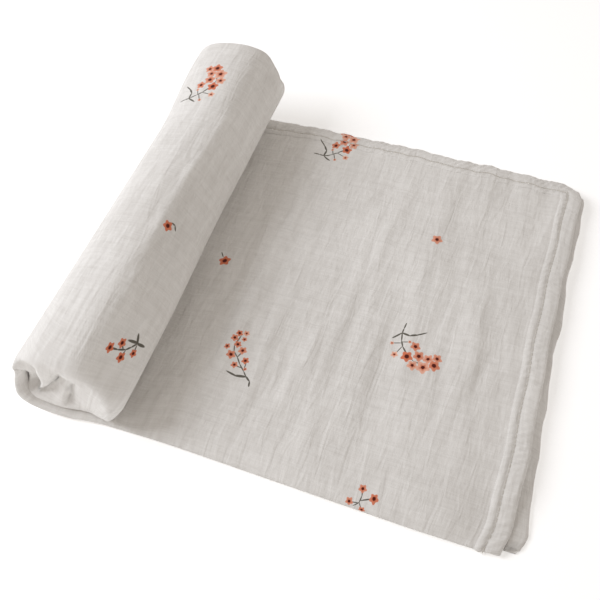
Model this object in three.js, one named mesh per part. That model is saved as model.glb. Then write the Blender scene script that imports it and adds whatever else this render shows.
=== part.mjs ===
import * as THREE from 'three';

// A cotton muslin swaddle blanket: one square of cloth folded twice into a long strip four layers
// thick, then rolled up from one end until only a short tail is left lying flat.
// Millimetres, +Z up. +X runs along the tail to its loose hemmed end, +Y runs from the rounded front
// fold to the back edge. The origin is the middle of the bounding box, on the floor.

const STRIP_WIDTH = 300;
const TAIL_LENGTH = 283; // loose end to the roll's axis
const ROLL_HALF_WIDTH = 37.5;
const ROLL_HALF_HEIGHT = 34;
const ROLL_TURNS = 5;
const STEPS_PER_TURN = 18;

const CLOTH = 1.0; // thickness of one layer
const HEM_CLOTH = 1.8; // the same cloth where it is turned over in a hem
const HEM_WIDTH = 14;
const LAYER_GAP = 0.35; // air between layers where they are rolled tight
const TURN_GAP = 0.4; // air between one turn and the next

const TAIL_LAYERS = [0.5, 2.7, 5.6, 8.2]; // layer heights in the loose tail, lowest layer first
const ROLLED_LAYERS = [0, 1, 2, 3].map((n) => CLOTH / 2 + n * (CLOTH + LAYER_GAP));
const ROLLED_STACK = 4 * CLOTH + 3 * LAYER_GAP;
const TURN_PITCH = ROLLED_STACK + TURN_GAP;

const OUTER_FOLD_DEPTH = { rolled: 2.6, tail: 9 }; // how far the outer front fold takes to turn over
const INNER_FOLD_DEPTH = { rolled: 1.0, tail: 3 };
const BACK_FOLD_DEPTH = 1.2;
const INNER_FOLD_INSET = 7; // the inner fold's crest lies this far behind the outer one
const SLOPE_WIDTH = 26; // the top layer starts to slope down this far behind the front fold
const LOWER_HEM_SHOWS_BACK = 4; // the lower layers reach past the upper ones at the loose end
const LOWER_HEM_SHOWS_FRONT = 12;
const ROLL_REACHES_BACK = 7; // the roll stands out past the strip's back edge

const AXIS_X = -TAIL_LENGTH;
const CLOTH_COLOUR = 0xe3dfd8;

// Soft ridges that cross the tail from front to back: [distance from the loose end, width, height].
const TAIL_RIDGES = [
  [38, 9, 0.8],
  [66, 12, 1.1],
  [101, 10, 0.9],
  [128, 13, 1.4],
  [170, 12, 1.1],
  [205, 14, 1.3],
];
const RIDGE_SLANT = 11; // a ridge wanders this far along the tail on its way across

// Folds pressed into the front end of the roll: [turns from the start, width in turns, depth].
const END_DENTS = [
  [1.22, 0.05, 5],
  [1.36, 0.06, 7],
  [1.5, 0.05, 5],
  [2.3, 0.07, 6],
  [2.46, 0.06, 4],
];

const smooth = (low, high, x) => THREE.MathUtils.smoothstep(x, low, high);
const bump = (x, middle, width) => Math.exp(-(((x - middle) / width) ** 2));
const mix = (a, b, share) => a + (b - a) * share;

// The line the strip's underside follows, seen from the front: along the floor, then round and round.
function tailStations() {
  const hem = [0, 4, 11, HEM_WIDTH, HEM_WIDTH + 3];
  const open = [38, 52, 66, 84, 101, 114, 128, 149, 170, 188, 205, 226, 248, 264];
  return [...hem, ...open].map((distance) => ({ x: -distance, z: 0, turns: 0, distance }));
}

function rollStations() {
  const stations = [];
  for (let step = 0; step <= ROLL_TURNS * STEPS_PER_TURN; step += 1) {
    const turns = step / STEPS_PER_TURN;
    const part = turns % 1;
    const angle = part * 2 * Math.PI;
    const inward = TURN_PITCH * (Math.floor(turns) + smooth(0.52, 0.98, part));
    const shoulder = 2.2 * bump(part, 0.585, 0.06) * Math.max(0, 1 - turns / 3);
    const high = ROLL_HALF_HEIGHT - inward + shoulder;
    const wide = ROLL_HALF_WIDTH - inward * (ROLL_HALF_WIDTH / ROLL_HALF_HEIGHT) + shoulder;
    stations.push({
      x: AXIS_X - wide * Math.sin(angle),
      z: ROLL_HALF_HEIGHT - high * Math.cos(angle),
      turns,
      distance: TAIL_LENGTH,
    });
  }
  return stations;
}

// Each station is given the direction the strip runs in, and the direction its layers stack up in.
function withDirections(stations) {
  return stations.map((station, i) => {
    const before = stations[Math.max(i - 1, 0)];
    const after = stations[Math.min(i + 1, stations.length - 1)];
    const length = Math.hypot(after.x - before.x, after.z - before.z);
    const along = { x: (after.x - before.x) / length, z: (after.z - before.z) / length };
    return { ...station, along, up: { x: along.z, z: -along.x } };
  });
}

// Where the strip's front fold and back edge lie at a station.
function widthAt({ turns, distance }) {
  if (turns === 0) {
    const bow = 2.5 * (1 - bump(distance, 150, 110));
    return { front: bow, back: STRIP_WIDTH + 1.2 * Math.sin(distance / 5.4) * bump(distance, 90, 90) };
  }
  const dents = END_DENTS.reduce((sum, [at, width, depth]) => sum + depth * bump(turns, at, width), 0);
  const front = 2.5 + Math.min(turns, 2) + dents;
  const back = STRIP_WIDTH + ROLL_REACHES_BACK * smooth(0.1, 0.4, turns) - 1.5 * Math.max(0, turns - 1);
  return { front, back };
}

// The heights of the four layers above the strip's underside, lowest first.
function layerHeights({ distance }) {
  const loose = 1 - smooth(226, 262, distance);
  return ROLLED_LAYERS.map((height, n) => mix(height, TAIL_LAYERS[n], loose));
}

function ridgeHeight(distance) {
  return TAIL_RIDGES.reduce((sum, [at, width, height]) => sum + height * bump(distance, at, width), 0);
}

// Half an ellipse from one layer's height to another's, bulging to the side given.
function fold(from, to, y, depth, side, points) {
  const middle = (from + to) / 2;
  const half = (from - to) / 2;
  return Array.from({ length: points }, (_, n) => {
    const angle = (Math.PI * n) / (points - 1);
    return { y: y + side * depth * (Math.sin(angle) - 1), w: middle + half * Math.cos(angle) };
  });
}

// The cloth's middle line across the strip: the top layer from its hem to the front fold, the lowest
// layer back to the back fold, then the two inner layers, ending at the second hem.
function foldedLine(station) {
  const { front, back } = widthAt(station);
  const [first, second, third, fourth] = layerHeights(station);
  const loose = (fourth - ROLLED_LAYERS[3]) / (TAIL_LAYERS[3] - ROLLED_LAYERS[3]);
  const ridge = (slant) => loose * ridgeHeight(station.distance + slant);
  const outerDepth = mix(OUTER_FOLD_DEPTH.rolled, OUTER_FOLD_DEPTH.tail, loose);
  const innerDepth = mix(INNER_FOLD_DEPTH.rolled, INNER_FOLD_DEPTH.tail, loose);
  const middle = (share) => mix(front, back, share);
  return [
    { y: back - 1, w: fourth - loose },
    { y: back - HEM_WIDTH, w: fourth - 0.5 * loose },
    { y: middle(0.68), w: fourth + ridge(0) },
    { y: middle(0.36), w: fourth + ridge(RIDGE_SLANT) },
    { y: front + SLOPE_WIDTH, w: fourth + 0.7 * ridge(0) },
    ...fold(fourth, first, front + CLOTH / 2, outerDepth, -1, 6),
    { y: middle(0.5), w: first },
    ...fold(first, second, back - CLOTH / 2, BACK_FOLD_DEPTH, 1, 3),
    { y: middle(0.5), w: second },
    ...fold(second, third, front + INNER_FOLD_INSET, innerDepth, -1, 3),
    { y: middle(0.36), w: third + 0.6 * ridge(RIDGE_SLANT) },
    { y: middle(0.68), w: third + 0.6 * ridge(0) },
    { y: back - 3, w: third - 0.9 * loose },
  ];
}

function hemThickness(station, y, back, w) {
  const atEnd = station.turns === 0 && station.distance <= HEM_WIDTH;
  const upper = w > layerHeights(station)[1] + 0.5;
  const atBack = station.turns === 0 && station.distance < 226 && upper && y > back - HEM_WIDTH - 1;
  return atEnd || atBack ? HEM_CLOTH : CLOTH;
}

// The cloth's closed outline across the strip: one face of the middle line out, the other back.
function outlineAt(station) {
  const line = foldedLine(station);
  const { back } = widthAt(station);
  const faces = [[], []];
  line.forEach((point, n) => {
    const before = line[Math.max(n - 1, 0)];
    const after = line[Math.min(n + 1, line.length - 1)];
    const length = Math.hypot(after.y - before.y, after.w - before.w);
    const across = { y: (after.w - before.w) / length, w: -(after.y - before.y) / length };
    const thick = hemThickness(station, point.y, back, point.w);
    // The lowest face stays on the floor where a hem makes the cloth thicker.
    const lift = (thick - CLOTH) / 2;
    [1, -1].forEach((side, face) => {
      faces[face].push({
        y: point.y + (side * across.y * thick) / 2,
        w: point.w + lift + (side * across.w * thick) / 2,
      });
    });
  });
  return [...faces[0], ...faces[1].reverse()];
}

// How far the lower layers stand out past the top one at the loose end.
function reachAt(station, y, w) {
  if (station.turns > 0) return 0;
  const nearEnd = 1 - smooth(0, 70, station.distance);
  const lower = 1 - smooth(TAIL_LAYERS[1] + 0.6, TAIL_LAYERS[2] - 0.6, w);
  const shows = mix(LOWER_HEM_SHOWS_FRONT, LOWER_HEM_SHOWS_BACK, y / STRIP_WIDTH);
  const corner = 7 * bump(y, 0, 9) + 3 * bump(y, STRIP_WIDTH, 9);
  return nearEnd * (lower * shows - corner);
}

function stripGeometry() {
  const stations = withDirections([...tailStations(), ...rollStations()]);
  const rings = stations.map((station) => outlineAt(station).map(({ y, w }) => [
    station.x + w * station.up.x + reachAt(station, y, w),
    y,
    station.z + w * station.up.z,
  ]));
  const size = rings[0].length;
  const positions = rings.flat(2);
  const index = [];
  for (let i = 0; i + 1 < rings.length; i += 1) {
    for (let j = 0; j < size; j += 1) {
      const next = (j + 1) % size;
      const [a, b] = [i * size + j, i * size + next];
      index.push(a, b + size, b, a, a + size, b + size);
    }
  }
  // Each end is closed across the cloth's thickness, from one face of the line to the other.
  const last = (rings.length - 1) * size;
  for (let j = 0; j + 1 < size / 2; j += 1) {
    const [a, b, c, d] = [j, j + 1, size - 2 - j, size - 1 - j];
    index.push(a, b, c, a, c, d);
    index.push(last + a, last + c, last + b, last + a, last + d, last + c);
  }
  const geometry = new THREE.BufferGeometry();
  geometry.setAttribute('position', new THREE.Float32BufferAttribute(positions, 3));
  geometry.setIndex(index);
  return geometry;
}

const geometry = stripGeometry();
geometry.computeBoundingBox();
const middle = geometry.boundingBox.getCenter(new THREE.Vector3());
geometry.translate(-middle.x, -middle.y, 0);

const blanket = new THREE.Mesh(
  geometry,
  new THREE.MeshStandardMaterial({ color: CLOTH_COLOUR, roughness: 0.95, metalness: 0 }),
);
blanket.name = 'blanket';

const part = new THREE.Group();
part.add(blanket);
export default part;
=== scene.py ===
# %% [markdown]
# # A muslin swaddle blanket, folded and part-way rolled
#
# The real thing is one square of double-layer cotton muslin, 1.2 m on a side, with a turned and
# stitched hem all round. It is folded in half twice, which makes a strip four layers thick, and then
# rolled up from one end until a flat tail is left. This lesson makes it the same way: a flat square of
# cloth is folded and rolled by one function that says where each point of the square ends up. The hem,
# the stitches and the printed flowers are then laid out on the flat square and carried along with it.

# %% Load the frame
import math

import bmesh
import bpy
import numpy as np
from mathutils import Matrix, Vector


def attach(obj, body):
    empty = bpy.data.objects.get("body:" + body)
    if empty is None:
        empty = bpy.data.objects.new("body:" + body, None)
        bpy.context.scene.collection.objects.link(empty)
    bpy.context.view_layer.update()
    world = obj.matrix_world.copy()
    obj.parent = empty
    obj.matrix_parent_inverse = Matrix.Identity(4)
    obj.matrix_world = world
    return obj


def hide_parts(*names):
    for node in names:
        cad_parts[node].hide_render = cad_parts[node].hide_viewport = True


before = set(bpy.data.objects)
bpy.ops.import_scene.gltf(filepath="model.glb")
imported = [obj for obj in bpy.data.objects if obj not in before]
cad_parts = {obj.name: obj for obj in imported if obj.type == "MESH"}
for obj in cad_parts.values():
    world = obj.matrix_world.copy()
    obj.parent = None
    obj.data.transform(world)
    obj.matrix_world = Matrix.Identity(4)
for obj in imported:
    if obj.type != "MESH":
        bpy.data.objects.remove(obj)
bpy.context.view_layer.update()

# %% [markdown]
# ## Sizes
#
# Everything is worked out in millimetres in the blanket's own layout, where x is 0 at the loose end of
# the top layer and runs negative towards the roll, y is 0 at the front fold, and z is 0 on the floor.
# `SHIFT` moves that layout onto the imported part, whose origin is the middle of its box.

# %% Sizes of the cloth and the roll
SHEET = 1200.0  # the square's side
STRIP = 300.0  # the folded strip's width
TAIL = 283.0  # loose end to the roll's axis
ROLL_HALF_WIDTH, ROLL_HALF_HEIGHT = 37.5, 34.0
ROLLED_LAYERS = np.array([0.5, 1.55, 2.6, 3.65])  # heights of the layers' middles, lowest first
TAIL_LAYERS = np.array([0.6, 2.7, 5.6, 8.2])
TURN_PITCH = 4.35  # four layers, and the air between one turn and the next
FLOOR_GAP = 0.3  # the lowest layer's middle stays this far off the floor
SHIFT = np.array([154.70, -153.77, 0.0])
print("folded into", int(SHEET / STRIP), "layers,", STRIP, "mm wide")


def smooth(low, high, x):
    t = np.clip((x - low) / (high - low), 0, 1)
    return t * t * (3 - 2 * t)


def bump(x, middle, width):
    return np.exp(-(((x - middle) / width) ** 2))


def mix(a, b, share):
    return a + (b - a) * share


# %% [markdown]
# ## The line that the strip follows
#
# Seen from the front, the strip's underside lies on the floor along the tail and then winds round and
# round. Each turn is a slightly flattened circle that lies one strip thickness inside the last, with a
# soft crest along its upper right, where the cloth was pulled tight, and a hollow just past it. The
# winding is worked out as a table of points by length, so any point of the strip can be looked up.

# %% The winding
CREST = {"part": 0.56, "width": 0.052, "height": 2.4}
HOLLOW = {"part": 0.625, "width": 0.042, "height": -2.2}
CHEEK = {"part": 0.74, "width": 0.06, "height": 1.2}
SWELL_TURNS = 4  # these three die out over so many turns
STEPS_IN = (0.50, 0.98)  # each turn steps in by one pitch between these parts of it
CORE_HALF_HEIGHT, CORE_HALF_WIDTH = 2.4, 2.8


def winding_table(samples_per_turn=720, turns=7.4):
    turn = np.arange(int(samples_per_turn * turns)) / samples_per_turn
    part = turn % 1
    angle = 2 * np.pi * part
    inward = TURN_PITCH * (np.floor(turn) + smooth(*STEPS_IN, part))
    fade = np.clip(1 - turn / SWELL_TURNS, 0, 1)
    swell = fade * sum(s["height"] * bump(part, s["part"], s["width"]) for s in (CREST, HOLLOW, CHEEK))
    high = np.maximum(ROLL_HALF_HEIGHT - inward + swell, CORE_HALF_HEIGHT)
    wide = np.maximum(ROLL_HALF_WIDTH - inward * ROLL_HALF_WIDTH / ROLL_HALF_HEIGHT + swell, CORE_HALF_WIDTH)
    x = -TAIL - wide * np.sin(angle)
    z = ROLL_HALF_HEIGHT - high * np.cos(angle)
    length = TAIL + np.concatenate([[0], np.cumsum(np.hypot(np.diff(x), np.diff(z)))])
    along = np.stack([np.gradient(x), np.gradient(z)], 1)
    along /= np.linalg.norm(along, axis=1)[:, None]
    along[0] = (-1, 0)
    return {"length": length, "x": x, "z": z, "turn": turn, "along_x": along[:, 0], "along_z": along[:, 1]}


WINDING = winding_table()
print("turns in the roll", round(float(np.interp(SHEET, WINDING["length"], WINDING["turn"])), 2))


def follow(u):
    """The strip's underside at length u from the loose end: x, z, turn, and the direction it runs in."""
    names = ("x", "z", "turn", "along_x", "along_z")
    rolled = {name: np.interp(u, WINDING["length"], WINDING[name]) for name in names}
    flat = u < TAIL
    x = np.where(flat, -u, rolled["x"])
    z = np.where(flat, 0.0, rolled["z"])
    turn = np.where(flat, 0.0, rolled["turn"])
    return x, z, turn, np.where(flat, -1.0, rolled["along_x"]), np.where(flat, 0.0, rolled["along_z"])


# %% [markdown]
# ## Creases in the muslin
#
# Gauze this soft never lies flat. Long shallow rucks run from the front fold to the back edge, because
# the strip was pushed along as it was rolled. Each ruck is a soft ridge with its own place, length and
# slant, steeper on one side than on the other, and the layers under the top one follow it.

# %% Rucks
STEEP_SIDE, EASY_SIDE = 0.7, 1.3  # a ruck's two sides, as shares of its width


def ruck_set(count, u_range, heights, widths, lengths, seed, y_range=(-10, STRIP + 10)):
    draw = np.random.default_rng(seed)
    return [
        {
            "u": draw.uniform(*u_range),
            "y": draw.uniform(*y_range),
            "height": draw.uniform(*heights) * draw.choice([1, 1, -1]),
            "width": draw.uniform(*widths),
            "length": draw.uniform(*lengths),
            "slant": draw.normal(0.03, 0.08),
            "curve": draw.normal(0, 0.0006),
        }
        for _ in range(count)
    ]


def ruck_height(rucks, u, y):
    total = np.zeros(np.broadcast(u, y).shape)
    for r in rucks:
        across = u - r["u"] - r["slant"] * (y - r["y"]) - r["curve"] * (y - r["y"]) ** 2
        width = r["width"] * np.where(across > 0, STEEP_SIDE, EASY_SIDE)
        total += r["height"] * bump(across, 0, width) * bump(y, r["y"], r["length"])
    return total


BROAD_RUCKS = ruck_set(38, (10, 262), (0.5, 1.15), (5, 10), (50, 120), 11)
NARROW_RUCKS = ruck_set(120, (16, 268), (0.18, 0.42), (2.4, 4.2), (22, 70), 21)
FRONT_RUCKS = ruck_set(26, (20, 240), (0.6, 1.3), (3.5, 6.5), (22, 45), 31, (35, 115))
ROLL_RUCKS = ruck_set(110, (262, 560), (0.15, 0.55), (3.0, 9), (25, 110), 12)
print("rucks", len(BROAD_RUCKS + FRONT_RUCKS + NARROW_RUCKS + ROLL_RUCKS))

# %% [markdown]
# ## How the outer turn closes the roll's front end
#
# At the front of the roll the outermost turn sticks out past the turns inside it. Round the bottom and
# up the left its fold stays open and fat, like a lip. From the upper left onwards it has been turned down
# over the turns inside, like the end of a parcel: it bends over the rim and hangs across the end, and
# is tucked in behind the lip. The closing line, where it is tucked in, is given by a few points for the
# part of the turn each one is reached from.

# %% The closed end
END_BEND = 8.0  # radius of the bend over the rim
CLOSING_PARTS = [0.28, 0.34, 0.39, 0.43, 0.47, 0.52, 0.62, 0.75, 0.92]
CLOSING_X = [-315.5, -314.5, -312.0, -308.5, -302.0, -291.0, -277.0, -265.0, -255.0]
CLOSING_Y = [4.0, 5.0, 6.0, 5.0, 3.5, 3.0, 3.5, 5.0, 7.0]
CLOSING_Z = [36.0, 34.0, 27.0, 18.0, 11.5, 8.0, 7.0, 7.0, 8.0]


def end_share(turn):
    """How far the outer turn is drawn over the end."""
    return smooth(0.23, 0.38, turn) * (1 - smooth(0.88, 0.98, turn))


def lip_share(u, turn):
    """How far the fold is left open and fat."""
    return smooth(235, 283, u) * (1 - smooth(0.26, 0.42, turn))


def closing_run(x, z, turn):
    """Which way the end's cloth hangs from a point of the rim, and how far it is to the closing line."""
    run_x = np.interp(turn, CLOSING_PARTS, CLOSING_X) - x
    run_z = np.interp(turn, CLOSING_PARTS, CLOSING_Z) - z
    length = np.maximum(np.hypot(run_x, run_z), 1e-6)
    return run_x / length, run_z / length, length


# %% [markdown]
# Where the end was tucked in, the cloth is pressed into a zigzag of flat facets. Each crease is a line
# down the end. The cloth drops steeply at one side of the line and recovers slowly at the other, which
# is what makes one facet seem to lie over the next.

# %% Creases of the closed end
END_CREASES = [
    # top (x, z), bottom (x, z), depth, reach to the left, reach to the right
    ((-299, 57), (-304, 17), 9.5, 6.0, 0.8),
    ((-281, 56), (-303, 17), 9.0, 0.6, 5.0),
    ((-275, 52), (-288, 14), 7.0, 0.8, 5.0),
    ((-262, 56), (-276, 40), 1.6, 3.0, 5.0),
]


print("points on the closing line", len(CLOSING_PARTS), "and creases", len(END_CREASES))


def crease_depth(x, z):
    """How deep a point of the end is pressed in, and 0 at the end's left side."""
    depth = np.zeros(np.broadcast(x, z).shape)
    for (x1, z1), (x2, z2), deep, left, right in END_CREASES:
        length = math.hypot(x2 - x1, z2 - z1)
        along = ((x - x1) * (x2 - x1) + (z - z1) * (z2 - z1)) / length
        leftward = ((x - x1) * (z2 - z1) - (z - z1) * (x2 - x1)) / length
        wide = np.where(leftward > 0, left, right)
        ends = smooth(-2, 5, along) * (1 - smooth(length - 5, length + 2, along))
        depth = np.maximum(depth, deep * np.exp(-np.abs(leftward) / wide) * ends)
    return depth * smooth(-321, -311, x)


# %% [markdown]
# ## Where a point of the flat square ends up
#
# A point of the square is (u, v): u along the strip, v across it. Going across, v passes the top layer
# from its hem to the outer front fold, the lowest layer, the back fold, the third layer, the inner front
# fold and the second layer. `section` turns v into a place across the strip and a height in the stack,
# and `place` carries that along the winding.

# %% Edges of the strip
OUTER_SPAN, BACK_SPAN, INNER_SPAN = 11.0, 3.0, 5.0  # half the cloth that goes round each fold
OUTER_DEPTH, INNER_DEPTH = (2.2, 9.0), (1.2, 3.5)  # how deep a front fold is, rolled and in the tail
BACK_DEPTH = 1.2
INNER_INSET = (3.0, 6.5)  # the inner front fold lies this far behind the outer one
LIP_RISE = 3.2
EVEN_SPAN = 80  # past this much cloth from the front, the lowest layer isn't stretched by the end,
EVEN_Y = (77.0, 70.0)  # and lies here, in the tail and on the roll


def plain_front(u, turn):
    """Where the front fold lies, before the outer turn is drawn over the roll's end."""
    # It wanders a little along the tail, and the turns inside the roll lie further back.
    tail = -1.5 - 1.0 * np.sin(u / 52.0) - 1.2 * bump(u, 40, 45) + 1.0 * (1 - smooth(0, 22, u)) ** 2
    first = -1.0 + 1.2 * np.sin(turn * 9)
    inner = 14.0 + 1.6 * np.sin(turn * 5.3 + 1.0) + 0.6 * turn
    rolled = mix(first, inner, smooth(0.9, 1.02, turn))
    return mix(tail, rolled, smooth(235, 283, u))


def back_edge(u, turn):
    """Where the back edge lies: scalloped by its hem in the tail, and standing out on the roll."""
    scallop = 1.0 * np.abs(np.sin(u / 5.3 + 0.8 * np.sin(u / 31.0)))
    corner = -5.0 * (1 - smooth(0, 16, u)) ** 2
    tail = STRIP - 1.5 + scallop + 2.0 * bump(u, 120, 80) - 2.5 * bump(u, 100, 22) + corner
    lobes = 4.0 * bump(turn, 0.61, 0.045) - 2.0 * bump(turn, 0.69, 0.018)
    rolled = STRIP + 7.0 * smooth(0.12, 0.4, turn) + lobes - 3.5 * smooth(0.8, 1.2, turn)
    rolled = rolled + 1.5 * np.sin(turn * 4.1) * smooth(1.0, 1.5, turn)
    return mix(tail, rolled, smooth(225, 283, u))


def layer_heights(u):
    """The heights of the four layers, lowest first, and how loose they lie."""
    loose = 1 - smooth(212, 262, u)
    at_hem = 1 - smooth(9, 24, u)
    heights = [mix(r, t, loose) for r, t in zip(ROLLED_LAYERS, TAIL_LAYERS)]
    lifts = (0.5, 0.6, 0.0, 0.7)  # where a hem makes the layer thicker
    return [height + lift * at_hem for height, lift in zip(heights, lifts)], loose


def half_turn(v, middle, span):
    """The angle a point has turned through as it goes round a fold."""
    return np.pi * np.clip((v - middle + span) / (2 * span), 0, 1)


# %% Across the strip
INNER_DROOP = 3.4  # how far the inner layers sink at the loose end
CORNER_PRESS = 0.42  # how much of its height the loose end's front corner loses


def inner_share(v):
    """0 in the outer pair of layers and 1 in the inner pair."""
    return smooth(1.35 * STRIP, 1.9 * STRIP, v)


def section(u, v, x, z, turn):
    """A point's place across the strip, its height in the stack, and where the front fold would lie."""
    (h1, h2, h3, h4), loose = layer_heights(u)
    back, share_in = back_edge(u, turn), end_share(turn)
    *_, hang = closing_run(x, z, turn)
    spare = hang + (math.pi / 2 - 1) * END_BEND  # cloth from the start of the bend to the closing line
    plain = plain_front(u, turn)
    front = mix(plain, END_BEND - spare, share_in)
    lip = lip_share(u, turn)
    outer_depth, inner_depth = mix(*OUTER_DEPTH, np.maximum(loose, 0.8 * lip)), mix(*INNER_DEPTH, loose)
    inner_front = plain + mix(*INNER_INSET, loose) - 2.5 * (1 - smooth(4, 34, u))
    inner_front = mix(inner_front, END_BEND + 2, share_in)
    low_back = back + 0.8 * np.sin(u / 9.0)
    y = np.zeros(np.broadcast(u, v).shape)
    w = np.zeros_like(y)
    h4_front = h4 + LIP_RISE * lip * (1 - loose)

    def put(low, high, y_new, w_new):
        here = (v >= low) & (v <= high) & np.ones_like(y, bool)
        y[here] = np.broadcast_to(y_new, y.shape)[here]
        w[here] = np.broadcast_to(w_new, y.shape)[here]

    def share(low, high):
        return np.clip((v - low) / (high - low), 0, 1)

    start = STRIP - OUTER_SPAN
    put(0, start, mix(back, front + outer_depth, share(0, start)), mix(h4, h4_front, smooth(276, start, v)))
    turned = half_turn(v, STRIP, OUTER_SPAN)
    crest = front + outer_depth * (1 - np.sin(turned))
    put(start, STRIP + OUTER_SPAN, crest, (h1 + h4_front) / 2 + (h4_front - h1) / 2 * np.cos(turned))
    start, even, end = STRIP + OUTER_SPAN, STRIP + EVEN_SPAN, 2 * STRIP - BACK_SPAN
    even_y = mix(*EVEN_Y, share_in)
    put(start, even, mix(front + outer_depth, even_y, share(start, even)), h1)
    put(even, end, mix(even_y, low_back - BACK_DEPTH, share(even, end)), h1)
    turned = half_turn(v, 2 * STRIP, BACK_SPAN)
    crest = low_back - BACK_DEPTH * (1 - np.sin(turned))
    put(end, 2 * STRIP + BACK_SPAN, crest, (h1 + h2) / 2 - (h2 - h1) / 2 * np.cos(turned))
    start, end = 2 * STRIP + BACK_SPAN, 3 * STRIP - INNER_SPAN
    put(start, end, mix(low_back - BACK_DEPTH, inner_front + inner_depth, share(start, end)), h2)
    turned = half_turn(v, 3 * STRIP, INNER_SPAN)
    crest = inner_front + inner_depth * (1 - np.sin(turned))
    put(end, 3 * STRIP + INNER_SPAN, crest, (h2 + h3) / 2 - (h3 - h2) / 2 * np.cos(turned))
    start = 3 * STRIP + INNER_SPAN
    second_back = h3 - 1.4 * loose * smooth(SHEET - 30, SHEET - 12, v)
    put(start, SHEET, mix(inner_front + inner_depth, back - 3.0, share(start, SHEET)), second_back)

    # The loose layers sink towards the front fold and the back edge, and the rucks lift them.
    top = smooth(h2 + 0.2, h4, w)
    sink = 1.6 * (1 - smooth(0, 24, y - plain)) ** 2 + 1.8 * (1 - smooth(0, 16, back - y)) ** 2
    rucks = ruck_height(BROAD_RUCKS + FRONT_RUCKS + NARROW_RUCKS, u, y)
    rucks = rucks * smooth(4, 36, y - plain) * smooth(4, 22, u)
    swell = 0.7 * np.sin(u / 23.0 + y / 90.0) * smooth(0, 14, y - plain)
    front_swell = 2.2 * bump(y - plain, 21, 16) * smooth(0, 8, y - plain) * smooth(5, 45, u)
    w = w + loose * top * (rucks + swell + front_swell - sink)

    # The inner layers droop at the loose end, and its front corner is pressed together.
    w = w - INNER_DROOP * inner_share(v) * (1 - smooth(0, 12, u))
    pressed = CORNER_PRESS * (1 - smooth(6, 42, u)) * (1 - smooth(8, 48, y))
    return y, np.maximum(w * (1 - pressed), TAIL_LAYERS[0]), plain


# %% [markdown]
# The roll isn't an even tube. It flares at the back of its left side, is fuller at the front of its right
# side, and has a pinched line along its crest. At the loose end the inner layers show past the outer ones,
# and its corners are drawn in.

# %% Fullness of the roll, and the loose end
LEFT_FLARE, RIGHT_FLARE, CREST_PINCH = 6.0, 4.0, 0.9


def roll_flare(y, turn):
    left = LEFT_FLARE * smooth(215, 300, y) * bump(turn, 0.33, 0.16)
    right = RIGHT_FLARE * bump(turn, 0.76, 0.09) * (1 - smooth(70, 190, y))
    puckers = 1 + 0.45 * np.sin(y / 8.5) + 0.3 * np.sin(y / 3.7)
    pinch = smooth(35, 75, y) * (1 - smooth(215, 260, y)) * puckers
    return left + right + CREST_PINCH * pinch * bump(turn, 0.572 + 0.01 * np.sin(y / 31), 0.013)


def end_reach(u, v, y):
    inner = inner_share(v)
    reach = 3.8 + 1.5 * (1 - smooth(150, 260, y)) + 2.4 * (1 - smooth(50, 90, y))
    reach = reach + 2.4 * (1 - smooth(8, 40, y)) + 0.8 * np.sin(y / 13.0 + 0.6) + 0.5 * np.sin(y / 5.0)
    corner = 3.6 * bump(y, -3, 12) + (5.0 - 3.0 * inner) * bump(y, STRIP, 8) + 3.0 * inner * bump(y, 2, 9)
    wander = 0.7 * np.sin(y / 37.0) + 0.4 * np.sin(y / 9.0 + 1.0)
    return (1 - smooth(0, 80, u)) * (inner * reach - corner + wander)


# %% Along the winding
PUFF = 2.5  # how far the closed end's cloth swells forward between the rim and the closing line
SLUMP_LEFT, SLUMP_FORWARD = 13.0, 5.5  # how far the roll's lower left front corner sags each way


def place(u, v):
    """Where the point (u, v) of the flat square lies once the blanket is folded and rolled, in mm."""
    u, v = np.broadcast_arrays(np.asarray(u, float), np.asarray(v, float))
    x, z, turn, along_x, along_z = follow(u)
    y, w, plain = section(u, v, x, z, turn)
    share_in = end_share(turn)

    rolled = smooth(262, 300, u) * np.clip(1.2 - turn / 3, 0, 1)
    w = w - rolled * ruck_height(ROLL_RUCKS, u, y) - roll_flare(y, turn)
    up_x, up_z = along_z, -along_x

    # Straight out along the strip, or bent over the rim and down to the closing line.
    straight = np.stack([x + w * up_x, np.maximum(y, plain), z + w * up_z], -1)
    past = np.maximum(END_BEND - y, 0)
    angle = np.minimum(past / END_BEND, math.pi / 2)
    inward = END_BEND * (1 - np.cos(angle)) + np.maximum(past - END_BEND * math.pi / 2, 0)
    run_x, run_z, hang = closing_run(x, z, turn)
    down = np.clip(inward / hang, 0, 1)
    bent_x = x + run_x * inward + w * up_x * np.cos(angle)
    bent_z = z + run_z * inward + w * up_z * np.cos(angle)
    puff = PUFF * np.sin(math.pi * down) - np.interp(turn, CLOSING_PARTS, CLOSING_Y) * down
    bent_y = np.where(y > END_BEND, y, END_BEND * (1 - np.sin(angle))) + w * np.sin(angle) - puff
    bent_y = bent_y + crease_depth(bent_x, bent_z) * smooth(0.6, 1.35, angle)
    bent = np.stack([bent_x, bent_y, bent_z], -1)
    point = mix(straight, bent, share_in[..., None])

    px, py, pz = point[..., 0], point[..., 1], point[..., 2]
    px = px + end_reach(u, v, py)

    # The roll's lower left front corner slumps outwards and bulges forward.
    slump = SLUMP_LEFT * smooth(-287, -312, px) * bump(pz, 8, 17) * (1 - smooth(5, 75, py))
    py = py - SLUMP_FORWARD * bump(px, -303, 25) * (1 - smooth(8, 34, pz)) * (1 - smooth(10, 60, py))
    px = px - slump
    return np.stack([px, py, np.maximum(pz, FLOOR_GAP)], -1)


roll_top = place(np.linspace(TAIL, 2 * TAIL, 200), np.full(200, STRIP / 2))[:, 2].max()
print("the roll stands", round(float(roll_top), 1), "mm high half-way along")


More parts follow.
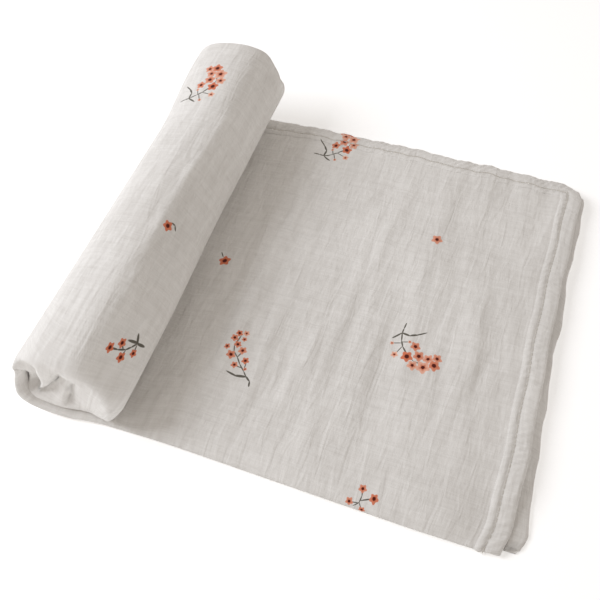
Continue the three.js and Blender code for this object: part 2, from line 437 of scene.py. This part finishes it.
# %% [markdown]
# ## The printed flowers
#
# The muslin is screen printed with a few kinds of small wild-flower sprig, scattered with plenty of
# bare cloth between them. Each kind is charted once, in millimetres about its lowest fork:
# flowers as (x, y, radius, paleness), and stems and leaves as strokes (x, y, x, y, width). The material
# draws the charts, and a second UV map says which chart each face of the cloth looks at, and from where.

# %% Charts of the sprigs
def chain(width, *points):
    """Strokes of one width that join the points."""
    return [(*a, *b, width) for a, b in zip(points, points[1:])]


SPRIGS = {
    "cluster": {
        "flowers": [
            (11.4, -8.3, 3.3, 0.3), (7.8, -17.7, 3.9, 0.0), (15.4, -14.6, 3.8, 0.4), (13.0, -22.8, 3.6, 0.8),
            (20.1, -22.0, 4.6, 0.8), (21.8, -15.0, 3.4, 0.6), (27.5, -13.1, 3.3, 0.5),
            (26.8, -18.9, 4.0, 0.2), (-0.7, -17.7, 2.4, 1.0), (-4.6, -9.4, 1.3, 0.8), (6.9, -6.3, 1.2, 0.8),
        ],
        "strokes": chain(0.9, (0.8, 8.2), (0.3, 3.5), (0, 0), (1.2, -6.3), (3.1, -10.6), (7.1, -15.8))
        + chain(1.3, (0, 0), (5.6, -1.6), (10.5, 0.8)) + chain(0.9, (9.5, 0.2), (15.9, 4.9))
        + chain(1.1, (0, 0), (-5.4, -5.4))
        + chain(0.6, (1.6, -8.0), (-4.2, -9.2)) + chain(0.6, (1.6, -7.2), (6.6, -6.4))
        + chain(0.6, (2.8, -10.6), (0.2, -16)) + chain(0.6, (8, -17), (13, -19.5), (20, -20)),
    },
    "tall": {
        "flowers": [
            (-16.5, 30.0, 2.3, 0.1), (-12.1, 31.8, 2.2, 0.9), (-11.7, 26.9, 1.7, 0.2),
            (-18.3, 25.4, 2.6, 0.3), (-14.5, 21.7, 2.5, 0.2), (-20.8, 17.7, 2.1, 0.2),
            (-9.6, 18.1, 2.9, 0.4), (-16.0, 12.8, 3.1, 0.3), (-4.8, 11.1, 2.6, 0.1),
            (-10.9, 6.3, 2.4, 0.3), (-2.6, 5.0, 1.3, 0.5),
        ],
        "strokes": chain(1.1, (4.8, -6.8), (4.0, -3.2), (0, 0)) + chain(1.7, (0.4, -0.4), (-7.5, -1.4))
        + chain(1.2, (-6, -1.6), (-13.9, 0.3))
        + chain(0.8, (0, 0), (-2.6, 2.9), (-7.5, 7.6), (-11.2, 12.4), (-9.4, 16.8))
        + chain(0.7, (-11.2, 12.4), (-15.0, 15.8), (-16.3, 20.0), (-14.8, 28.6))
        + chain(0.6, (-3.2, 3.9), (-3.6, 9.6)) + chain(0.6, (-5, 5.2), (-10.2, 5.8)),
    },
    "branch": {
        "flowers": [
            (-14.2, -6.0, 2.3, 0.0), (-8.7, -2.4, 2.2, 0.1), (-5.2, -8.0, 2.3, 0.0), (0.6, -4.5, 1.9, 0.0),
        ],
        "strokes": chain(1.3, (0, 0), (5.2, 0.3)) + chain(1.2, (0, 0), (-2.4, 4.0))
        + chain(1.2, (0.6, 0.4), (-6.0, -0.3))
        + chain(0.8, (0, 0), (-2.4, -2.5), (-4.8, -4.4), (-9.2, -5.6), (-13.6, -6.0))
        + chain(0.6, (-4.6, -4.6), (-5.2, -7.6)) + chain(0.6, (0.2, -0.6), (0.6, -4.0))
        + chain(0.6, (-6.0, -4.8), (-8.4, -2.8)),
    },
    "sprout": {
        "flowers": [
            (-0.2, 7.2, 2.5, 0.3), (8.0, 3.8, 2.7, 0.1), (-6.0, -1.2, 2.3, 0.3), (2.6, -4.0, 2.1, 0.2),
        ],
        "strokes": chain(0.6, (-3.0, -3.0), (0, 0), (0.6, 3.2), (-0.2, 6.6))
        + chain(0.6, (0.4, 1.0), (7.4, 3.6)) + chain(0.5, (-0.4, -0.4), (-5.4, -1.2))
        + chain(0.5, (0, 0), (2.4, -3.4)),
    },
    "leafed": {
        "flowers": [(0, 0, 3.6, 0.0)],
        "strokes": chain(1.0, (1.6, 3.6), (4.6, 3.8), (6.8, 1.0)),
    },
    "stalked": {"flowers": [(0, 0, 4.1, 0.0)], "strokes": chain(0.7, (2.4, -3.2), (5.2, -7.4))},
    "blossom": {"flowers": [(0, 0, 3.9, 0.5)], "strokes": []},
}
CHART_STEP = 90.0  # the charts lie side by side, this far apart
CHART_REACH = 37.0  # and none is larger than this about its fork
print("sprigs", {name: len(s["flowers"]) + len(s["strokes"]) for name, s in SPRIGS.items()})

# %% [markdown]
# The sprigs are placed on the flat square as (kind, u, v, turned by degrees). The ones that lie on top
# of the folded blanket are placed one by one, and a drawn scatter fills the rest of the square, keeping
# its distance from them and from itself.

# %% Places of the sprigs
PRINT_EDGE = 40  # the scatter keeps this far in from the square's edge
PLACED_SPRIGS = [
    ("cluster", 97, 171, 180),
    ("cluster", 202, 29, 280),
    ("cluster", 378, 538, 106),
    ("tall", 186, 239, 180),
    ("stalked", 238, 150, 0),
    ("blossom", 94, 86, 40),
    ("leafed", 417, 428, 0),
    ("branch", 438, 361, 0),
    ("sprout", 90, 293, 180),
]


def scattered_sprigs(placed, clear=78.0, tries=6000):
    draw = np.random.default_rng(5)
    kinds = list(SPRIGS)
    sprigs = list(placed)
    for _ in range(tries):
        u, v = draw.uniform(PRINT_EDGE, SHEET - PRINT_EDGE, 2)
        shown = (u < 290 and v < 320) or (290 < u < 530 and 300 < v < 600)
        if not shown and min(math.hypot(u - s[1], v - s[2]) for s in sprigs) > clear:
            sprigs.append((kinds[draw.integers(len(kinds))], u, v, draw.uniform(0, 360)))
    return sprigs


ALL_SPRIGS = scattered_sprigs(PLACED_SPRIGS)
print("sprigs on the square", len(ALL_SPRIGS))


def nearest_sprig(u, v):
    """Which sprig is nearest to each point, and how far off it is."""
    centres = np.array([(s[1], s[2]) for s in ALL_SPRIGS])
    apart = np.hypot(u[:, None] - centres[:, 0], v[:, None] - centres[:, 1])
    return apart.argmin(1), apart.min(1)


def to_chart(which, u, v):
    """Each point's place on the charts, as its sprig is turned and placed."""
    kinds = np.array([list(SPRIGS).index(s[0]) for s in ALL_SPRIGS])[which]
    centre = np.array([(s[1], s[2]) for s in ALL_SPRIGS])[which]
    turned = -np.radians([s[3] for s in ALL_SPRIGS])[which]
    du, dv = u - centre[:, 0], v - centre[:, 1]
    x = du * np.cos(turned) - dv * np.sin(turned)
    y = du * np.sin(turned) + dv * np.cos(turned)
    return np.stack([x + kinds * CHART_STEP, y], 1)


# %% [markdown]
# ## Grids that follow the cloth
#
# Every piece of the blanket starts as a flat grid, whose vertices are then moved to where the cloth
# goes. One helper does it: it is given the (u, v) of each vertex and its place, gives the piece its two
# UV maps, and joins the seams where a grid has been closed round on itself. `UVMap` is the flat square
# itself, from 0 to 1, so the weave follows the cloth round every fold.

# %% Shaped grids
OFF_CHART = -500.0  # faces with no sprig near look at this empty place
MERGE_DISTANCE = 1e-7


def shaped_grid(name, u, v, points, closed=False):
    """u, v: arrays of rows by columns. points: the same, with x, y, z in mm."""
    rows, columns = u.shape
    bm = bmesh.new()
    bmesh.ops.create_grid(bm, x_segments=columns - 1, y_segments=rows - 1, size=0.5)
    mesh = bpy.data.meshes.new(name)
    bm.to_mesh(mesh)
    bm.free()
    flat = np.zeros(len(mesh.vertices) * 3)
    mesh.vertices.foreach_get("co", flat)
    flat = flat.reshape(-1, 3)
    column = np.rint((flat[:, 0] + 0.5) * (columns - 1)).astype(int)
    row = np.rint((flat[:, 1] + 0.5) * (rows - 1)).astype(int)
    mesh.vertices.foreach_set("co", ((points[row, column] + SHIFT) / 1000).ravel())

    corner = np.zeros(len(mesh.loops), int)
    mesh.loops.foreach_get("vertex_index", corner)
    corner_u, corner_v = u[row, column][corner], v[row, column][corner]
    on_square = np.stack([corner_u, corner_v], 1) / SHEET
    mesh.uv_layers.new(name="UVMap").data.foreach_set("uv", on_square.ravel())
    face_u, face_v = corner_u.reshape(-1, 4).mean(1), corner_v.reshape(-1, 4).mean(1)
    which, apart = nearest_sprig(face_u, face_v)
    on_chart = to_chart(np.repeat(which, 4), corner_u, corner_v)
    on_chart[np.repeat(apart > CHART_REACH, 4)] = OFF_CHART
    mesh.uv_layers.new(name="print").data.foreach_set("uv", on_chart.ravel())
    mesh.uv_layers["UVMap"].active = True
    mesh.polygons.foreach_set("use_smooth", np.ones(len(mesh.polygons), bool))
    if closed:
        bm = bmesh.new()
        bm.from_mesh(mesh)
        bmesh.ops.remove_doubles(bm, verts=bm.verts, dist=MERGE_DISTANCE)
        bmesh.ops.recalc_face_normals(bm, faces=bm.faces)
        bm.to_mesh(mesh)
        bm.free()
    piece = bpy.data.objects.new(name, mesh)
    bpy.context.scene.collection.objects.link(piece)
    return piece


def spaced(stops):
    """Positions along one side of the square, from (end, spacing) stretches."""
    places, at = [0.0], 0.0
    for end, gap in stops:
        steps = max(1, round((end - at) / gap))
        places += list(np.linspace(at, end, steps + 1)[1:])
        at = end
    return np.array(places)


# %% [markdown]
# ## The cloth
#
# The rows and columns of the cloth's grid are close together where it shows and at the folds, and far
# apart inside the roll. The cloth is left as one surface. Its thickness only shows at its edges, and
# there the hem covers it.

# %% Make the cloth
U_LINES = spaced([(10, 2.5), (20, 2), (296, 2.7), (436, 2.0), (520, 2.8), (720, 6), (1186, 8), (1200, 4)])
V_LINES = spaced([
    (12, 3), (289, 2.8), (311, 1.8), (368, 1.5), (594, 3.3), (606, 1.5), (890, 18), (910, 2.0), (1182, 17),
    (1200, 4.5),
])
cloth_u, cloth_v = np.meshgrid(U_LINES, V_LINES)
cloth = shaped_grid("muslin_cloth", cloth_u, cloth_v, place(cloth_u, cloth_v))
print("cloth", len(U_LINES), "by", len(V_LINES), "lines,", len(cloth.data.polygons), "faces")

# %% [markdown]
# ## The hem
#
# The cloth's edge is turned over twice and sewn down, which makes a soft band three layers thick. It is
# a flattened tube that runs round the square, with a groove where the stitching pulls it in. The band
# puckers a little across its width. Its points are found on the flat square, at a distance in from the
# edge, and then raised off the cloth along the cloth's own normal.

# %% Points on the cloth, raised off it
LOWEST = 0.02  # nothing is let through the floor


def normals(u, v, step=0.4):
    """The direction that the printed face looks in."""
    u, v = np.clip(u, step, SHEET - step), np.clip(v, step, SHEET - step)
    along = place(u + step, v) - place(u - step, v)
    across = place(u, v + step) - place(u, v - step)
    normal = np.cross(along, across)
    return normal / np.maximum(np.linalg.norm(normal, axis=-1), 1e-9)[..., None], along, across


def raised(u, v, height):
    """Points at a height over the cloth, which may lie a little past its edge."""
    normal, along, across = normals(u, v)
    along = along / np.maximum(np.linalg.norm(along, axis=-1), 1e-9)[..., None]
    across = across / np.maximum(np.linalg.norm(across, axis=-1), 1e-9)[..., None]
    past_u, past_v = u - np.clip(u, 0, SHEET), v - np.clip(v, 0, SHEET)
    point = place(np.clip(u, 0, SHEET), np.clip(v, 0, SHEET)) + normal * height[..., None]
    point = point + along * past_u[..., None] + across * past_v[..., None]
    point[..., 2] = np.maximum(point[..., 2], LOWEST)
    return point


# %% Paths round the square
def round_the_square(inset, shown_step, hidden_step):
    """(u, v) and distance along each side, at a distance in from the edge, going once round."""
    shown = {0: (0, 610), 1: (0, 0), 2: (0, 0), 3: (SHEET - 530, SHEET)}
    u, v, at = [], [], []
    for side, (start, end) in shown.items():
        stops = [(start, hidden_step)] if start else []
        stops += [(end, shown_step)] if end > start else []
        stops += [(SHEET, hidden_step)] if end < SHEET else []
        s = spaced(stops)[:-1]
        t = inset + s / SHEET * (SHEET - 2 * inset)
        near, far = np.full_like(t, inset), np.full_like(t, SHEET - inset)
        side_u, side_v = [(near, t), (t, far), (far, SHEET - t), (SHEET - t, near)][side]
        u.append(side_u)
        v.append(side_v)
        at.append(s + side * SHEET)
    close = [np.concatenate(parts) for parts in (u, v, at)]
    return [np.append(c, c[0]) for c in close]


# %% Make the hem
HEM_OUTLINE = [
    # in from the edge, height over the cloth's middle
    (15.5, 0.05), (14.0, 0.7), (12.3, 1.05), (11.0, 0.7), (10.0, 0.0), (8.8, 0.9), (5.5, 1.2), (2.0, 0.95),
    (0.2, 0.62), (-0.3, 0.0), (0.2, -0.62), (2.0, -0.9), (5.5, -1.0), (8.8, -0.85), (10.0, -0.15),
    (15.5, -0.05),
]
HEM_OUTLINE.append(HEM_OUTLINE[0])
HEM_STEP, HIDDEN_STEP = 1.5, 9.0  # spacing along the hem where it shows, and where it doesn't


def hem_fullness(u):
    """The hem is squeezed thin where it is rolled up."""
    return mix(1.0, 0.5, smooth(235, 290, u))


hem_u, hem_v, hem_height = [], [], []
for inset, height in HEM_OUTLINE:
    u, v, at = round_the_square(inset, HEM_STEP, HIDDEN_STEP)
    strength = 0.27 + 0.16 * np.sin(at / 11.0)
    pucker = strength * np.sin(at / 0.85 + 2.8 * np.sin(at / 19.0)) + 0.16 * np.sin(at / 2.3 + 1.0)
    fullness = hem_fullness(u) * (1 + pucker * (abs(height) > 0.6))
    hem_u.append(u)
    hem_v.append(v)
    hem_height.append(height * fullness)
hem_u, hem_v, hem_height = (np.array(a) for a in (hem_u, hem_v, hem_height))
hem = shaped_grid("muslin_hem", hem_u, hem_v, raised(hem_u, hem_v, hem_height), closed=True)
print("hem faces", len(hem.data.polygons))

# %% [markdown]
# ## The stitching
#
# One row of lockstitch holds the hem down, 10 mm in from the edge. Each stitch is a short bar of thread,
# 2.6 mm long, that lies in the groove. There are well over a thousand, so each is only a small box.

# %% Make the stitches
STITCH_INSET, STITCH_STEP = 10.0, 3.5
STITCH_LONG, STITCH_WIDE, STITCH_THICK = 2.6, 0.55, 1.3
stitch_u, stitch_v, stitch_at = round_the_square(STITCH_INSET, STITCH_STEP, STITCH_STEP)
middle = place(stitch_u, stitch_v)
ahead = np.roll(middle[:-1], -1, axis=0) - np.roll(middle[:-1], 1, axis=0)
facing, _, _ = normals(stitch_u, stitch_v)
bm = bmesh.new()
for point, run, face, u in zip(middle, ahead, facing, stitch_u):
    run = Vector(run).normalized()
    face = Vector(face)
    side = face.cross(run).normalized()
    thick = STITCH_THICK * float(hem_fullness(u))
    axes = Matrix((run * STITCH_LONG, side * STITCH_WIDE, face * thick)).transposed().to_4x4()
    bmesh.ops.create_cube(bm, size=1, matrix=Matrix.Translation(Vector(point)) @ axes)
bmesh.ops.translate(bm, verts=bm.verts, vec=Vector(SHIFT))
bmesh.ops.scale(bm, verts=bm.verts, vec=(0.001, 0.001, 0.001))
for vert in bm.verts:
    vert.co.z = max(vert.co.z, LOWEST / 1000)
bmesh.ops.recalc_face_normals(bm, faces=bm.faces)
stitch_mesh = bpy.data.meshes.new("hem_stitching")
bm.to_mesh(stitch_mesh)
bm.free()
stitching = bpy.data.objects.new("hem_stitching", stitch_mesh)
bpy.context.scene.collection.objects.link(stitching)
print("stitches", len(stitch_u) - 1, "faces", len(stitch_mesh.polygons))

# %% [markdown]
# ## The muslin
#
# Double gauze is two open plain weaves caught together at points. Once washed it crinkles: short ripples
# a few millimetres apart, longer across the strip than along it, over faint rows that run the other way,
# where the two layers are caught together. It has thick-and-thin yarns (slubs) that show as faint dashes.
# It is quite matt, with a soft bloom at grazing angles from its loose fibres. The real threads are about
# 0.5 mm apart, too fine to show from here, so the weave is drawn at twice that. All scales below are in
# millimetres of the flat square.

# %% Colours and nodes
def linear(hex_colour):
    parts = [int(hex_colour[i : i + 2], 16) / 255 for i in (1, 3, 5)]
    return tuple(c / 12.92 if c <= 0.04045 else ((c + 0.055) / 1.055) ** 2.4 for c in parts) + (1.0,)


def add_node(tree, kind, inputs=None, **settings):
    """Adds a node. An input is a value, or another node's output to link to."""
    node = tree.nodes.new(kind)
    for name, value in settings.items():
        setattr(node, name, value)
    for socket, value in (inputs or {}).items():
        if isinstance(value, bpy.types.NodeSocket):
            tree.links.new(value, node.inputs[socket])
        else:
            node.inputs[socket].default_value = value
    return node


def new_material(name, roughness):
    material = bpy.data.materials.new(name)
    material.use_nodes = True
    shader = material.node_tree.nodes["Principled BSDF"]
    shader.inputs["Roughness"].default_value = roughness
    return material, material.node_tree, shader


# %% Double gauze: weave, crinkle and slubs
# The second colour is the darker end: the cloth's own darker tone, and painted shade for the crinkle's low
# places.
MUSLIN_COLOUR, MUSLIN_DARK_TONE_AND_PAINTED_SHADE = "#EFEDEA", "#DCD9D5"
muslin, tree, muslin_shader = new_material("double_gauze_muslin", 0.92)
muslin_shader.inputs["Sheen Weight"].default_value = 0.15
muslin_shader.inputs["Sheen Roughness"].default_value = 0.5
muslin_shader.inputs["Specular IOR Level"].default_value = 0.2

flat_map = add_node(tree, "ShaderNodeUVMap", uv_map="UVMap").outputs[0]
inputs = {0: flat_map, 1: (SHEET, SHEET, 1)}
millimetres = add_node(tree, "ShaderNodeVectorMath", inputs, operation="MULTIPLY").outputs[0]

NOISES = {
    # name: length along the strip and across it, detail, warp, height in the relief, share of the colour's
    # tone and painted shade (lower is painted darker)
    "ripples": (6.5, 36.0, 2.0, 0.6, 0.75, 0.5),
    "rows": (45.0, 3.4, 1.0, 0.3, 0.30, 0.25),
    "dimples": (4.0, 7.0, 1.5, 0.4, 0.28, 0.25),
    "fine_ripples": (2.0, 7.0, 2.0, 0.0, 0.12, 0.15),
    "slubs": (15.0, 0.9, 1.0, 0.0, 0.12, 0.3),
    "cross_slubs": (0.9, 11.0, 1.0, 0.0, 0.06, 0.15),
    "wear": (60.0, 80.0, 2.0, 0.0, 0.0, 0.35),
}
# Each noise that lifts the crinkle also lightens the colour, so its low places are painted darker: painted
# shade. The slubs, cross slubs and wear add the cloth's own tone.
relief, tone_and_painted_shade = 0.0, 0.0
for along_u, along_v, detail, warp, height, shade in NOISES.values():
    inputs = {0: millimetres, 1: (1 / along_u, 1 / along_v, 0)}
    scaled = add_node(tree, "ShaderNodeVectorMath", inputs, operation="MULTIPLY").outputs[0]
    inputs = {"Vector": scaled, "Scale": 1.0, "Detail": detail, "Distortion": warp}
    blots = add_node(tree, "ShaderNodeTexNoise", inputs, noise_dimensions="2D").outputs["Fac"]
    inputs = {0: blots, 1: height, 2: relief}
    relief = add_node(tree, "ShaderNodeMath", inputs, operation="MULTIPLY_ADD").outputs[0]
    inputs = {0: blots, 1: shade, 2: tone_and_painted_shade}
    tone_and_painted_shade = add_node(tree, "ShaderNodeMath", inputs, operation="MULTIPLY_ADD").outputs[0]
print("noises", len(NOISES))

# %% The weave
THREAD_STEP = 1.05
weave = 0.035  # its height, which each of the two sets of threads is multiplied into
for scale in ((2 * math.pi / THREAD_STEP, 0, 0), (0, 2 * math.pi / THREAD_STEP, 0)):
    inputs = {0: millimetres, 1: scale}
    turned = add_node(tree, "ShaderNodeVectorMath", inputs, operation="DOT_PRODUCT").outputs["Value"]
    wave = add_node(tree, "ShaderNodeMath", {0: turned}, operation="SINE").outputs[0]
    weave = add_node(tree, "ShaderNodeMath", {0: wave, 1: weave}, operation="MULTIPLY").outputs[0]
relief = add_node(tree, "ShaderNodeMath", {0: relief, 1: weave}, operation="ADD").outputs[0]
bumped = add_node(tree, "ShaderNodeBump", {"Strength": 1.0, "Distance": 0.001, "Height": relief})
tree.links.new(bumped.outputs[0], muslin_shader.inputs["Normal"])
print("weave drawn every", THREAD_STEP, "mm")

# %% Colour of the cloth, with painted shade in the crinkle's low places
TONE_AND_SHADE_RANGE = {"From Min": 0.68, "From Max": 1.2}  # the noises add up to between about these
tone_and_painted_shade = add_node(tree, "ShaderNodeMapRange", {"Value": tone_and_painted_shade, **TONE_AND_SHADE_RANGE}).outputs[0]
# Where the noises are low the cloth gets the darker colour: painted shade in the crinkle's valleys, mixed
# with the cloth's own tone.
inputs = {"Factor": tone_and_painted_shade, 6: linear(MUSLIN_DARK_TONE_AND_PAINTED_SHADE), 7: linear(MUSLIN_COLOUR)}
cloth_colour_with_painted_shade = add_node(tree, "ShaderNodeMix", inputs, data_type="RGBA").outputs[2]
print("cloth between", MUSLIN_DARK_TONE_AND_PAINTED_SHADE, "and", MUSLIN_COLOUR)

# %% [markdown]
# ## The print
#
# The charts are drawn by the material. For the flowers it finds which centre is nearest, and how far and
# in which direction that is, in petal lengths. Five petals come from the cosine of five times the
# direction. Each stem or leaf is a long thin ellipse, and the nearest one counts. The ink sinks into the
# muslin, so it has the cloth's own matt finish and crinkle.

# %% Nearest flower and nearest stroke
PETAL, PALE_PETAL, PETAL_ROOT, EYE = "#DE8060", "#F3C0AA", "#CB6740", "#561B14"
STEM = "#67635A"
PETAL_SPREAD = 1.12  # the ink spreads a little past the charted radius
STROKE_SPREAD = (0.6, 0.62)  # an ellipse's half sizes, as shares of its stroke's length and width
PALENESS_STEP = 0.2  # paleness rides in the third part of the offset, made small beside the other two
chart = add_node(tree, "ShaderNodeUVMap", uv_map="print").outputs[0]
nearest, nearest_length, stroke_length = None, None, None
for kind, sprig in enumerate(SPRIGS.values()):
    for x, y, radius, paleness in sprig["flowers"]:
        reach = radius * PETAL_SPREAD
        centre = (-(x + kind * CHART_STEP) / reach, -y / reach, PALENESS_STEP * paleness)
        inputs = {0: chart, 1: (1 / reach, 1 / reach, 0), 2: centre}
        offset = add_node(tree, "ShaderNodeVectorMath", inputs, operation="MULTIPLY_ADD").outputs[0]
        length = add_node(tree, "ShaderNodeVectorMath", {0: offset}, operation="LENGTH").outputs["Value"]
        if nearest is None:
            nearest, nearest_length = offset, length
            continue
        inputs = {0: length, 1: nearest_length}
        closer = add_node(tree, "ShaderNodeMath", inputs, operation="LESS_THAN").outputs[0]
        nearest_length = add_node(tree, "ShaderNodeMath", inputs, operation="MINIMUM").outputs[0]
        inputs = {"Factor": closer, 4: nearest, 5: offset}
        nearest = add_node(tree, "ShaderNodeMix", inputs, data_type="VECTOR").outputs[1]
    for x1, y1, x2, y2, width in sprig["strokes"]:
        settings = {
            "Vector": chart,
            "Location": ((x1 + x2) / 2 + kind * CHART_STEP, (y1 + y2) / 2, 0),
            "Rotation": (0, 0, math.atan2(y2 - y1, x2 - x1)),
            "Scale": (math.hypot(x2 - x1, y2 - y1) * STROKE_SPREAD[0], width * STROKE_SPREAD[1], 1),
        }
        local = add_node(tree, "ShaderNodeMapping", settings, vector_type="TEXTURE").outputs[0]
        length = add_node(tree, "ShaderNodeVectorMath", {0: local}, operation="LENGTH").outputs["Value"]
        if stroke_length is None:
            stroke_length = length
            continue
        inputs = {0: length, 1: stroke_length}
        stroke_length = add_node(tree, "ShaderNodeMath", inputs, operation="MINIMUM").outputs[0]

# %% Petals and eyes
PETALS = 5.0
NOTCH = 0.15  # how deep the gaps between petals are
part = add_node(tree, "ShaderNodeSeparateXYZ", {0: nearest}).outputs
radius = add_node(tree, "ShaderNodeVectorMath", {0: nearest, 1: (1, 1, 0)}, operation="MULTIPLY").outputs[0]
radius = add_node(tree, "ShaderNodeVectorMath", {0: radius}, operation="LENGTH").outputs["Value"]
direction = add_node(tree, "ShaderNodeMath", {0: part[1], 1: part[0]}, operation="ARCTAN2").outputs[0]
inputs = {0: direction, 1: PETALS, 2: 0.7}
lobes = add_node(tree, "ShaderNodeMath", inputs, operation="MULTIPLY_ADD").outputs[0]
lobes = add_node(tree, "ShaderNodeMath", {0: lobes}, operation="COSINE").outputs[0]
inputs = {0: lobes, 1: NOTCH, 2: 1 - NOTCH}
petal_edge = add_node(tree, "ShaderNodeMath", inputs, operation="MULTIPLY_ADD").outputs[0]
out_to_edge = add_node(tree, "ShaderNodeMath", {0: radius, 1: petal_edge}, operation="DIVIDE").outputs[0]
inputs = {0: part[2], 1: 1 / PALENESS_STEP}
paleness = add_node(tree, "ShaderNodeMath", inputs, operation="MULTIPLY").outputs[0]
inputs = {"Factor": paleness, 6: linear(PETAL), 7: linear(PALE_PETAL)}
petal_colour = add_node(tree, "ShaderNodeMix", inputs, data_type="RGBA").outputs[2]
inputs = {0: paleness, 1: -0.14, 2: 0.36}  # a pale flower has a smaller eye
eye_size = add_node(tree, "ShaderNodeMath", inputs, operation="MULTIPLY_ADD").outputs[0]
eye_out = add_node(tree, "ShaderNodeMath", {0: radius, 1: eye_size}, operation="DIVIDE").outputs[0]

# %% Each ink printed over the last
INKS = [
    # colour, distance, full up to here, gone by here
    (linear(STEM), stroke_length, 0.75, 1.1),
    (petal_colour, out_to_edge, 0.9, 1.06),
    (linear(PETAL_ROOT), out_to_edge, 0.15, 0.75),
    (linear(EYE), eye_out, 0.75, 1.2),
]
printed = cloth_colour_with_painted_shade
for ink, distance, full, gone in INKS:
    fade = {"Value": distance, "From Min": full, "From Max": gone, "To Min": 1.0, "To Max": 0.0}
    cover = add_node(tree, "ShaderNodeMapRange", fade, interpolation_type="SMOOTHSTEP").outputs[0]
    layered = {"Factor": cover, 6: printed, 7: ink}
    printed = add_node(tree, "ShaderNodeMix", layered, data_type="RGBA").outputs[2]
tree.links.new(printed, muslin_shader.inputs["Base Color"])
print("muslin nodes", len(tree.nodes))

# %% [markdown]
# ## Thread
#
# The stitches are spun polyester-cotton thread, a shade warmer than the cloth and a little smoother,
# with the twist of its two plies drawn as fine diagonal ridges, painted darker in the grooves between them:
# painted shade.

# %% Sewing thread
thread, thread_tree, thread_shader = new_material("sewing_thread", 0.7)
thread_shader.inputs["Sheen Weight"].default_value = 0.2
position = add_node(thread_tree, "ShaderNodeTexCoord").outputs["Object"]
inputs = {"Vector": position, "Scale": 1400.0, "Distortion": 1.0}
twist = add_node(thread_tree, "ShaderNodeTexWave", inputs, bands_direction="DIAGONAL").outputs["Fac"]
# The twist's grooves get the darker thread colour: painted shade.
inputs = {"Factor": twist, 6: linear("#D6D1C8"), 7: linear("#EDE9E2")}
thread_colour_with_painted_shade = add_node(thread_tree, "ShaderNodeMix", inputs, data_type="RGBA").outputs[2]
thread_tree.links.new(thread_colour_with_painted_shade, thread_shader.inputs["Base Color"])
twist_bump = add_node(thread_tree, "ShaderNodeBump", {"Distance": 0.0001, "Height": twist}).outputs[0]
thread_tree.links.new(twist_bump, thread_shader.inputs["Normal"])
print("thread nodes", len(thread_tree.nodes))

# %% Dress the pieces, and say what they are
cloth.data.materials.append(muslin)
hem.data.materials.append(muslin)
stitching.data.materials.append(thread)
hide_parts("blanket")
for piece in (cloth, hem, stitching):
    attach(piece, "root")
print("pieces", [(piece.name, len(piece.data.polygons)) for piece in (cloth, hem, stitching)])

# %% [markdown]
# ## Floor, light and camera
#
# The blanket lies on plain white paper. Soft daylight comes mostly from one wide window on the left,
# with enough light all round that the right-hand sides are only gently shaded.

# %% Floor
bm = bmesh.new()
bmesh.ops.create_grid(bm, x_segments=1, y_segments=1, size=4)
floor_mesh = bpy.data.meshes.new("floor")
bm.to_mesh(floor_mesh)
bm.free()
floor = bpy.data.objects.new("floor", floor_mesh)
bpy.context.scene.collection.objects.link(floor)
paper, _, paper_shader = new_material("white_paper", 0.9)
paper_shader.inputs["Base Color"].default_value = linear("#FFFFFF")
paper_shader.inputs["Emission Color"].default_value = linear("#FFFFFF")
paper_shader.inputs["Emission Strength"].default_value = 0.3
floor.data.materials.append(paper)
print("floor of", paper.name)

# %% Light
AMBIENT = 0.46
WINDOW_WATTS, REFLECTOR_WATTS = 12.9, 1.4
world = bpy.data.worlds.new("studio")
world.use_nodes = True
world.node_tree.nodes["Background"].inputs["Color"].default_value = linear("#FFF7EF")
world.node_tree.nodes["Background"].inputs["Strength"].default_value = AMBIENT
bpy.context.scene.world = world


def area_light(name, position, target, size, watts, colour="#FFFFFF"):
    light = bpy.data.lights.new(name, "AREA")
    light.shape = "SQUARE"
    light.size = size
    light.energy = watts
    light.color = linear(colour)[:3]
    lamp = bpy.data.objects.new(name, light)
    lamp.location = position
    lamp.rotation_euler = (Vector(target) - Vector(position)).to_track_quat("-Z", "Y").to_euler()
    bpy.context.scene.collection.objects.link(lamp)
    return lamp


area_light("window", (-1.18, -0.25, 0.92), (0, 0, 0), 0.7, WINDOW_WATTS, "#F6F9FF")
area_light("reflector", (0.9, 0.3, 1.1), (0, 0, 0), 1.0, REFLECTOR_WATTS)
bpy.context.scene.view_settings.view_transform = "Standard"
print("window", WINDOW_WATTS, "W, reflector", REFLECTOR_WATTS, "W")

# %% Camera
CAMERA_AZIMUTH, CAMERA_ELEVATION, CAMERA_ROLL = 21.263, 55.266, -2.31
CAMERA_PLACE = np.array([-55.64, -171.77, 474.04])


def camera_matrix(azimuth, elevation, roll, place_mm):
    a, e, r = (math.radians(x) for x in (azimuth, elevation, roll))
    back = Vector((math.sin(a) * math.cos(e), -math.cos(a) * math.cos(e), math.sin(e)))
    right = Vector((math.cos(a), math.sin(a), 0))
    up = back.cross(right)
    turned_right = right * math.cos(r) + up * math.sin(r)
    turned_up = up * math.cos(r) - right * math.sin(r)
    axes = Matrix((turned_right, turned_up, back)).transposed().to_4x4()
    return Matrix.Translation(Vector((place_mm + SHIFT) / 1000)) @ axes


lens = bpy.data.cameras.new("camera")
lens.sensor_width = 36
lens.lens = 48
lens.clip_start = 0.01
camera = bpy.data.objects.new("camera", lens)
camera.matrix_world = camera_matrix(CAMERA_AZIMUTH, CAMERA_ELEVATION, CAMERA_ROLL, CAMERA_PLACE)
bpy.context.scene.collection.objects.link(camera)
bpy.context.scene.camera = camera
print("camera", round(float(np.linalg.norm(CAMERA_PLACE + SHIFT))), "mm from the middle")

# %% The end
bpy.context.view_layer.update()
